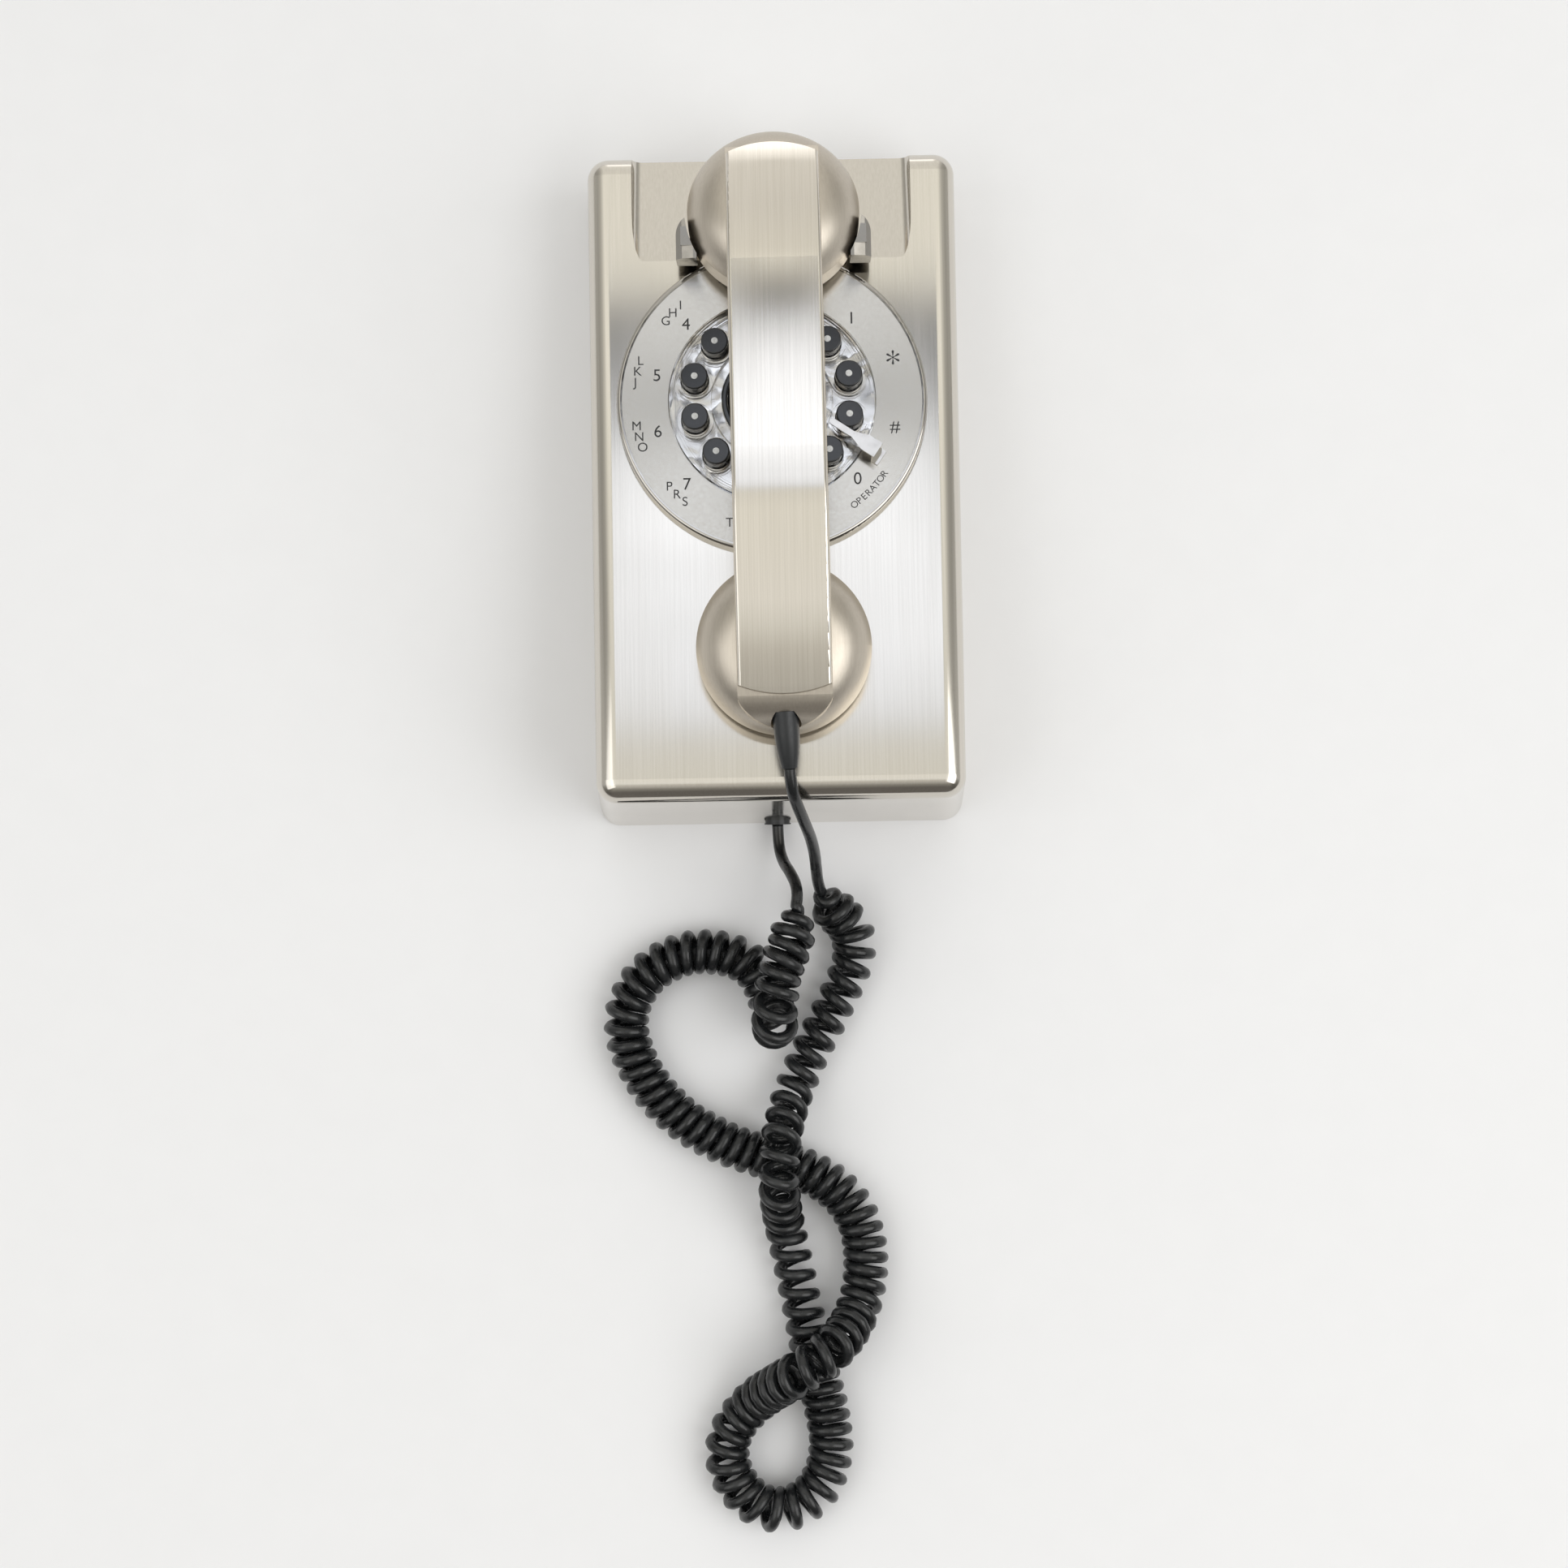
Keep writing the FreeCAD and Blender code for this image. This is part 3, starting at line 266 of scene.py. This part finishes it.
MATERIALS = {
    "brushed_nickel": brushed_metal(
        "brushed_nickel", (0.70, 0.665, 0.605), (0.665, 0.63, 0.57), 0.12, 0.85, 0.002 * MM),
    "strip_nickel": brushed_metal(
        "strip_nickel", (0.70, 0.66, 0.595), (0.65, 0.61, 0.545), 0.115, 0.85, 0.002 * MM, 60.0),
    "ring_nickel": turned_metal("ring_nickel", (0.59, 0.573, 0.54), (0.57, 0.553, 0.52), 0.24),
    "satin_nickel": satin_metal("satin_nickel", (0.60, 0.55, 0.475), (0.55, 0.50, 0.43), 0.40),
    "polished_chrome": polished_metal("polished_chrome", (0.46, 0.44, 0.41), 0.09),
    "hook_nickel": polished_metal("hook_nickel", (0.28, 0.265, 0.24), 0.15),
    "clear_plastic": clear_plastic("clear_plastic", (0.97, 0.98, 1.0)),
    "gloss_black": moulded_plastic(
        "gloss_black", (0.018, 0.019, 0.021), (0.026, 0.027, 0.03), 0.12, 0.002 * MM),
    "dark_window": moulded_plastic(
        "dark_window", (0.008, 0.008, 0.01), (0.012, 0.012, 0.014), 0.08, 0.002 * MM),
    "zinc_steel": satin_metal("zinc_steel", (0.58, 0.59, 0.6), (0.5, 0.51, 0.52), 0.35),
    "circuit_board": circuit_board("circuit_board"),
    "black_plastic": moulded_plastic("black_plastic", (0.025, 0.025, 0.026), (0.035, 0.035, 0.036), 0.4),
    "inner_plastic": moulded_plastic("inner_plastic", (0.62, 0.61, 0.57), (0.55, 0.54, 0.5), 0.45),
    "black_rubber": moulded_plastic("black_rubber", (0.016, 0.018, 0.02), (0.026, 0.028, 0.03), 0.38),
    "dial_frame_grey": silvered_backing("dial_frame_grey", (0.60, 0.575, 0.53), (0.52, 0.495, 0.455)),
    "black_cord": cord_jacket("black_cord"),
}
INK = printed_ink("ring_ink", (0.025, 0.026, 0.028))
DOT_WHITE = printed_ink("dot_white", (0.85, 0.87, 0.88))


def finish_cad_nodes():
    """Every CAD node takes the material of its slot in the record."""
    slots = {part["node"]: part["material_slot"] for part in frame["record"]["subparts"]}
    for name, node in frame["nodes"].items():
        node.data.materials.clear()
        node.data.materials.append(MATERIALS[slots[name]])


# ================================================================ printed characters and dots
# character, its angle and radius (mm) on the ring, the letters outside it and their radius (mm)
NUMBERS = [
    ("1", 45.6, 40.5, "", 0.0),
    ("2", 76.0, 40.8, "ABC", 47.0),
    ("3", 106.0, 40.8, "FED", 47.0),
    ("4", 137.0, 40.6, "IHG", 46.9),
    ("5", 166.8, 41.2, "LKJ", 48.2),
    ("6", 195.0, 41.4, "MNO", 48.2),
    ("7", 224.6, 42.3, "PRS", 47.3),
    ("8", 255.2, 42.2, "TUV", 46.2),
    ("9", 285.0, 41.6, "WXY", 46.6),
    ("0", 315.6, 41.1, "", 0.0),
    ("#", 346.4, 44.0, "", 0.0),
    ("*", 16.1, 44.3, "", 0.0),
]
LETTER_STEP = 4.7               # degrees between letters
NUMBER_HEIGHT = 6.1 * MM        # font size, whose capitals stand about 0.7 of it
STAR_HEIGHT = 11.5 * MM
LETTER_HEIGHT = 4.6 * MM
WORD = "OPERATOR"
WORD_ANGLE = 315.8              # of the word's middle, in degrees
WORD_RADIUS = 47.2
WORD_STEP = 2.63
WORD_HEIGHT = 3.4 * MM
INK_THICKNESS = 0.01 * MM       # half of it
INK_LIFT = 0.02 * MM            # middle of the ink above the ring


def character(name, text, radius, degrees, size, turn=0.0):
    """One printed character, lying on the number ring."""
    data = bpy.data.curves.new(name, "FONT")
    data.body = text
    data.size = size
    data.align_x = "CENTER"
    data.align_y = "CENTER"
    data.extrude = INK_THICKNESS
    piece = bpy.data.objects.new(name, data)
    bpy.context.scene.collection.objects.link(piece)
    angle = math.radians(degrees)
    place = Vector((radius * MM * math.cos(angle), radius * MM * math.sin(angle), RING_TOP + INK_LIFT))
    piece.matrix_world = DIAL_MATRIX @ Matrix.Translation(place) @ Matrix.Rotation(turn, 4, "Z")
    data.materials.append(INK)
    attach(piece, "base")
    return piece


def print_dial():
    plain = {"#": "hash", "*": "star"}
    for number, degrees, radius, letters, letter_radius in NUMBERS:
        size = STAR_HEIGHT if number == "*" else NUMBER_HEIGHT
        character("number_" + plain.get(number, number), number, radius, degrees, size)
        for i, letter in enumerate(letters):
            turned = degrees + (i - 1) * LETTER_STEP
            character("letter_" + letter, letter, letter_radius, turned, LETTER_HEIGHT)
    for i, letter in enumerate(WORD):
        degrees = WORD_ANGLE + (i - (len(WORD) - 1) / 2) * WORD_STEP
        turn = math.radians(degrees + 90)
        character("word_%d_%s" % (i, letter), letter, WORD_RADIUS, degrees, WORD_HEIGHT, turn)


def button_dots():
    """A slightly domed white dot in the middle of each button."""
    rings = [(1.0, 0.005 * MM), (0.96, 0.03 * MM), (0.6, 0.05 * MM)]    # share of the radius, and height
    steps = 32
    for i, name in enumerate(BUTTON_NAMES):
        angle = math.radians(FIRST_BUTTON_ANGLE + BUTTON_ANGLE_STEP * i)
        centre = Vector((BUTTON_CIRCLE * math.cos(angle), BUTTON_CIRCLE * math.sin(angle), BUTTON_TOP))
        points = []
        for share, height in rings:
            for k in range(steps):
                turn = 2 * math.pi * k / steps
                offset = Vector((math.cos(turn), math.sin(turn), 0)) * DOT_RADIUS * share
                points.append(DIAL_MATRIX @ (centre + offset + Vector((0, 0, height))))
        last = len(rings) - 1
        faces = [list(range(last * steps, (last + 1) * steps))]
        for ring in range(last):
            for k in range(steps):
                after = (k + 1) % steps
                low = ring * steps
                faces.append([low + k, low + after, low + steps + after, low + steps + k])
        piece = mesh_piece("dot_" + name, points, faces, DOT_WHITE)
        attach(piece, "button_" + name)


def mesh_piece(name, points, faces, material):
    mesh = bpy.data.meshes.new(name)
    mesh.from_pydata([tuple(p) for p in points], [], faces)
    mesh.validate()
    for polygon in mesh.polygons:
        polygon.use_smooth = True
    mesh.materials.append(material)
    piece = bpy.data.objects.new(name, mesh)
    bpy.context.scene.collection.objects.link(piece)
    return piece


# ================================================================ cord
BOOT_TIP = (3.03, -98.0, 85.83)
HANDSET_LEAD_ROUTE = [
    BOOT_TIP, (3.54, -105.81, 84.21),
    (5.6, -111.5, 77.0), (8.0, -117.5, 67.0), (10.0, -122.5, 55.0), (11.4, -128.0, 43.5),
    (12.0, -134.0, 32.5), (12.6, -139.8, 24.4), (14.7, -146.0, 18.2),
]
CURLY_ROUTE = [
    (19.5, -151.0, 15.0), (24.8, -156.5, 11.5), (26.2, -165.0, 9.0), (23.7, -174.0, 8.5),
    (17.0, -187.5, 8.5), (8.4, -203.0, 8.5), (2.6, -216.0, 9.5), (-1.0, -226.0, 18.5),
    (-2.9, -235.0, 27.6), (-3.4, -247.5, 27.6), (-2.9, -256.5, 19.0), (-1.6, -265.5, 10.0),
    (1.2, -279.5, 8.5), (5.0, -299.6, 8.5), (8.6, -316.0, 8.5), (12.6, -333.0, 8.5),
    (15.0, -350.0, 8.5), (8.5, -365.5, 8.5), (-5.5, -372.0, 8.5), (-18.0, -366.0, 8.5),
    (-25.0, -353.0, 8.5), (-23.0, -340.5, 8.5), (-14.5, -330.5, 9.5), (-6.0, -323.0, 18.5),
    (2.6, -316.6, 27.6), (12.4, -310.0, 27.6), (18.8, -305.2, 21.5), (24.2, -298.4, 12.5),
    (27.6, -288.0, 8.5), (28.4, -273.0, 8.5), (23.6, -258.5, 8.5), (12.6, -248.4, 8.5),
    (-3.0, -242.0, 8.5), (-21.8, -236.6, 8.5), (-41.5, -225.0, 8.5), (-54.8, -207.5, 8.5),
    (-60.0, -189.0, 8.5), (-52.5, -173.0, 8.5), (-38.0, -165.0, 8.5), (-23.5, -164.5, 8.5),
    (-12.0, -169.5, 8.5), (-6.5, -178.0, 8.8), (-4.0, -190.0, 13.0), (-3.8, -193.0, 26.5),
    (-3.8, -183.0, 36.0), (-1.8, -170.0, 35.5), (3.0, -160.0, 33.5), (4.3, -150.0, 31.0),
]
BASE_LEAD_ROUTE = [
    (5.4, -141.5, 28.9), (2.6, -135.5, 20.5), (0.3, -132.5, 12.0), (-1.5, -126.5, 5.6), (-1.6, -118.5, 5.2),
]


def smooth_route(points):
    """Points read from a NURBS spline that has the route's points as its control points."""
    curve = bpy.data.curves.new("route", "CURVE")
    curve.dimensions = "3D"
    curve.resolution_u = 24
    spline = curve.splines.new("NURBS")
    spline.points.add(len(points) - 1)
    for target, point in zip(spline.points, points):
        target.co = (*(Vector(point) * MM), 1)
    spline.order_u = 3
    spline.use_endpoint_u = True
    holder = bpy.data.objects.new("route", curve)
    mesh = bpy.data.meshes.new_from_object(holder)
    line = [vertex.co.copy() for vertex in mesh.vertices]
    bpy.data.objects.remove(holder)
    bpy.data.curves.remove(curve)
    bpy.data.meshes.remove(mesh)
    return line


def distances(line):
    """Distance along a line up to each of its points."""
    total = [0.0]
    for before, after in zip(line, line[1:]):
        total.append(total[-1] + (after - before).length)
    return total


def evenly(line, step):
    """The line's points again, evenly spaced."""
    total = distances(line)
    count = max(2, round(total[-1] / step))
    points = []
    i = 0
    for k in range(count + 1):
        target = total[-1] * k / count
        while i < len(total) - 2 and total[i + 1] < target:
            i += 1
        span = total[i + 1] - total[i]
        share = (target - total[i]) / span if span > 0 else 0.0
        points.append(line[i].lerp(line[i + 1], min(1.0, max(0.0, share))))
    return points


def directions(line):
    last = len(line) - 1
    return [(line[min(i + 1, last)] - line[max(i - 1, 0)]).normalized() for i in range(len(line))]


def carried_normals(line, first):
    """A normal at each point, carried along the line without twisting."""
    tangents = directions(line)
    normal = (first - tangents[0] * first.dot(tangents[0])).normalized()
    normals = []
    for tangent in tangents:
        normal = (normal - tangent * normal.dot(tangent)).normalized()
        normals.append(normal.copy())
    return tangents, normals


def softly(value, start, end):
    """0 before start, 1 after end, smooth between them."""
    share = min(1.0, max(0.0, (value - start) / (end - start)))
    return share * share * (3 - 2 * share)


def nearest_distance(line, total, point):
    """Distance along the line to its point nearest to a given point."""
    index = min(range(len(line)), key=lambda i: (line[i] - point).length_squared)
    return total[index]


def coiled_line(route, coil_start, coil_end, stretch_start, stretch_end):
    """The wire's centreline: it follows the route, and winds round it between the two leads.

    The coil is pulled open between stretch_start and stretch_end.
    """
    line = evenly(route, ROUTE_STEP)
    total = distances(line)
    tangents, normals = carried_normals(line, Vector((1, 0, 0)))
    start = nearest_distance(line, total, coil_start)
    end = nearest_distance(line, total, coil_end)
    open_from = nearest_distance(line, total, stretch_start)
    open_to = nearest_distance(line, total, stretch_end)
    reach = 8                   # points each side over which a bend's curvature is read
    wire = []
    phase = 0.0
    for i, (point, tangent, normal) in enumerate(zip(line, tangents, normals)):
        s = total[i]
        wound = softly(s, start, start + WINDING_EASE) * (1 - softly(s, end - WINDING_EASE, end))
        opened = softly(s, open_from - OPENING_EASE, open_from + OPENING_EASE)
        opened *= 1 - softly(s, open_to - OPENING_EASE, open_to + OPENING_EASE)
        radius = COIL_RADIUS * (1 - OPEN_NARROWING * opened) * wound
        before = tangents[max(0, i - reach)]
        after = tangents[min(len(line) - 1, i + reach)]
        curvature = before.angle(after) / (2 * reach * ROUTE_STEP)
        # in a bend the turns touch on the inner side and fan out on the outer side
        touching = 1.02 * WIRE_DIAMETER / max(0.35, 1 - COIL_RADIUS * curvature)
        pitch = max(CLOSED_PITCH + OPEN_PITCH_GAIN * opened, touching)
        binormal = tangent.cross(normal)
        wire.append(point + (normal * math.cos(phase) + binormal * math.sin(phase)) * radius)
        step = total[min(i + 1, len(total) - 1)] - s
        if start < s < end:
            phase -= 2 * math.pi * step / pitch
    return wire


def swept(name, line, radius, material, sides=14):
    """A round mesh tube along a line, closed at both ends."""
    tangents, normals = carried_normals(line, Vector((1, 0, 0)))
    points = []
    for point, tangent, normal in zip(line, tangents, normals):
        binormal = tangent.cross(normal)
        for k in range(sides):
            angle = 2 * math.pi * k / sides
            points.append(point + (normal * math.cos(angle) + binormal * math.sin(angle)) * radius)
    faces = []
    for i in range(len(line) - 1):
        for k in range(sides):
            after = (k + 1) % sides
            faces.append([i * sides + k, i * sides + after, (i + 1) * sides + after, (i + 1) * sides + k])
    faces.append(list(reversed(range(sides))))
    faces.append([(len(line) - 1) * sides + k for k in range(sides)])
    return mesh_piece(name, points, faces, material)


def make_cord():
    route = smooth_route(HANDSET_LEAD_ROUTE + CURLY_ROUTE + BASE_LEAD_ROUTE)
    wire = coiled_line(
        route,
        coil_start=Vector((13.4, -142.0, 22.0)) * MM,
        coil_end=Vector((4.6, -146.0, 30.2)) * MM,
        stretch_start=Vector((25.0, -168.0, 8.8)) * MM,
        stretch_end=Vector((6.0, -306.0, 8.5)) * MM,
    )
    wire = evenly(wire, 1.0 * MM)
    cord = swept("curly_cord_wire", wire, WIRE_DIAMETER / 2, MATERIALS["black_cord"])
    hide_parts("handset_lead", "curly_cord", "base_lead")
    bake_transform(cord)


# ================================================================ floor, light and camera
def flat_surface(name, outline, height, material):
    """A flat piece of the stage with that outline, at that height."""
    piece = mesh_piece(name, [(x, y, height) for x, y in outline], [list(range(len(outline)))], material)
    return piece


def area_light(name, place, power):
    data = bpy.data.lights.new(name, "AREA")
    data.shape = "RECTANGLE"
    data.size, data.size_y = LIGHT_SIZE
    data.energy = power
    light = bpy.data.objects.new(name, data)
    light.location = place
    light.rotation_euler = (Vector(LIGHT_TARGET) - Vector(place)).to_track_quat("-Z", "Y").to_euler()
    bpy.context.scene.collection.objects.link(light)


def emission(name, colour_socket_of):
    """Emission material, whose colour comes from a function that adds nodes to its tree."""
    material = bpy.data.materials.new(name)
    material.use_nodes = True
    tree = material.node_tree
    tree.nodes.clear()
    output = tree.nodes.new("ShaderNodeOutputMaterial")
    shader = tree.nodes.new("ShaderNodeEmission")
    shader.inputs["Strength"].default_value = 1.0
    tree.links.new(colour_socket_of(tree), shader.inputs["Color"])
    tree.links.new(shader.outputs["Emission"], output.inputs["Surface"])
    return material


def ramp_of(tree, value, stops):
    """Colour ramp over a value, from (position, colour) stops."""
    node = tree.nodes.new("ShaderNodeValToRGB")
    elements = node.color_ramp.elements
    while len(elements) < len(stops):
        elements.new(0.5)
    for element, (position, colour) in zip(elements, stops):
        element.position = position
        element.color = (*colour, 1)
    tree.links.new(value, node.inputs["Fac"])
    return node.outputs["Color"]


SOFTBOX_HEIGHT = 2.0
SOFTBOX_HALF_WIDTH = 0.38       # its far corners are cut off by long slants
SOFTBOX_TOP_HALF_WIDTH = 0.04
SOFTBOX_LOW_Y = 0.47
SOFTBOX_SLANT_Y = 0.62
SOFTBOX_HIGH_Y = 0.95
SOFTBOX_FRAME = 0.042
FLOOR_HALF_SIZE = 8
LIGHT_SIZE = (2.3, 2.1)
LIGHT_TARGET = (0, -0.1, 0)


def softbox_cloth(tree):
    """White cloth with a few soft folds across, brighter towards its far edge, fading at its near one."""
    coords = tree.nodes.new("ShaderNodeTexCoord")
    split = tree.nodes.new("ShaderNodeSeparateXYZ")
    tree.links.new(coords.outputs["Object"], split.inputs["Vector"])
    levels = [(0.468, 0.70), (0.497, 0.85), (0.57, 0.93), (0.645, 1.03), (0.72, 1.14), (0.82, 1.45)]
    brighter = ramp_of(tree, split.outputs["Y"], [(place, (level, level, level)) for place, level in levels])
    mapping = tree.nodes.new("ShaderNodeMapping")
    mapping.inputs["Scale"].default_value = (1.5, 22.0, 1.0)
    folds = tree.nodes.new("ShaderNodeTexNoise")
    folds.inputs["Scale"].default_value = 1.0
    folds.inputs["Detail"].default_value = 2.0
    folds.inputs["Distortion"].default_value = 0.6
    tree.links.new(coords.outputs["Object"], mapping.inputs["Vector"])
    tree.links.new(mapping.outputs["Vector"], folds.inputs["Vector"])
    cloth = ramp_of(tree, folds.outputs["Fac"], [(0.3, (1.18, 1.24, 1.36)), (0.6, (1.40, 1.47, 1.62))])
    product = tree.nodes.new("ShaderNodeVectorMath")
    product.operation = "MULTIPLY"
    tree.links.new(brighter, product.inputs[0])
    tree.links.new(cloth, product.inputs[1])
    return product.outputs["Vector"]


def make_world():
    """Studio surroundings, from dark at the near horizon to bright at the far one, darker at the sides."""
    world = bpy.data.worlds.new("studio")
    world.use_nodes = True
    tree = world.node_tree
    coords = tree.nodes.new("ShaderNodeTexCoord")
    split = tree.nodes.new("ShaderNodeSeparateXYZ")
    tree.links.new(coords.outputs["Generated"], split.inputs["Vector"])
    shifted = tree.nodes.new("ShaderNodeMapRange")
    shifted.inputs["From Min"].default_value = -1.0
    tree.links.new(split.outputs["Y"], shifted.inputs["Value"])
    along = ramp_of(tree, shifted.outputs["Result"], [
        (0.09, (0.16, 0.15, 0.14)), (0.18, (0.30, 0.29, 0.265)), (0.26, (0.50, 0.485, 0.45)),
        (0.314, (0.60, 0.585, 0.54)), (0.354, (0.69, 0.67, 0.62)), (0.3935, (0.88, 0.87, 0.82)),
        (0.435, (1.0, 0.985, 0.94)), (0.59, (1.0, 0.985, 0.92)), (0.635, (0.86, 0.845, 0.785)),
        (0.70, (1.12, 1.10, 1.02)), (0.725, (1.12, 1.10, 1.02)), (0.75, (0.93, 0.91, 0.84)),
        (0.90, (0.87, 0.85, 0.80)), (0.985, (0.93, 0.91, 0.86)), (0.998, (1.9, 1.88, 1.85)),
    ])
    side = tree.nodes.new("ShaderNodeMath")
    side.operation = "ABSOLUTE"
    tree.links.new(split.outputs["X"], side.inputs[0])
    across = ramp_of(tree, side.outputs["Value"], [
        (0.38, (1.0, 1.0, 1.0)), (0.65, (0.52, 0.52, 0.52)),
        (0.85, (0.39, 0.39, 0.39)), (0.97, (0.52, 0.52, 0.53)),
    ])
    product = tree.nodes.new("ShaderNodeVectorMath")
    product.operation = "MULTIPLY"
    tree.links.new(along, product.inputs[0])
    tree.links.new(across, product.inputs[1])
    tree.links.new(product.outputs["Vector"], tree.nodes["Background"].inputs["Color"])
    bpy.context.scene.world = world


def make_stage():
    floor = moulded_plastic("floor_white", (0.885, 0.89, 0.91), (0.875, 0.88, 0.90), 0.6)
    half = FLOOR_HALF_SIZE
    flat_surface("floor", [(-half, -half), (half, -half), (half, half), (-half, half)], 0.0, floor)
    cloth = emission("softbox_cloth", softbox_cloth)
    wide = SOFTBOX_HALF_WIDTH
    top = SOFTBOX_TOP_HALF_WIDTH
    outline = [(-wide, SOFTBOX_LOW_Y), (wide, SOFTBOX_LOW_Y), (wide, SOFTBOX_SLANT_Y),
               (top, SOFTBOX_HIGH_Y), (-top, SOFTBOX_HIGH_Y), (-wide, SOFTBOX_SLANT_Y)]
    flat_surface("softbox", outline, SOFTBOX_HEIGHT, cloth)
    frame_grey = moulded_plastic("softbox_frame_grey", (0.05, 0.05, 0.05), (0.04, 0.04, 0.04), 0.9)
    side = wide + SOFTBOX_FRAME
    far = SOFTBOX_HIGH_Y + SOFTBOX_FRAME
    frame_outline = [(-side, SOFTBOX_LOW_Y), (side, SOFTBOX_LOW_Y), (side, far), (-side, far)]
    flat_surface("softbox_frame", frame_outline, SOFTBOX_HEIGHT + 0.005, frame_grey)
    area_light("key", (1.8, -0.5, 2.1), 31.0)
    area_light("fill", (-1.8, -0.5, 2.1), 16.0)
    make_world()


def make_camera():
    """A camera straight above the table, a metre up, turned a degree about the line of sight."""
    data = bpy.data.cameras.new("camera")
    data.lens = 61.9
    data.sensor_width = 36.0
    camera = bpy.data.objects.new("camera", data)
    camera.location = (0.99 * MM, -103.65 * MM, 1.0)
    camera.rotation_euler = (0, 0, -0.0175)
    bpy.context.scene.collection.objects.link(camera)
    bpy.context.scene.camera = camera


bpy.context.scene.view_settings.view_transform = "Standard"
make_camera()
make_cord()
finish_cad_nodes()
print_dial()
button_dots()
make_stage()

bpy.context.view_layer.update()
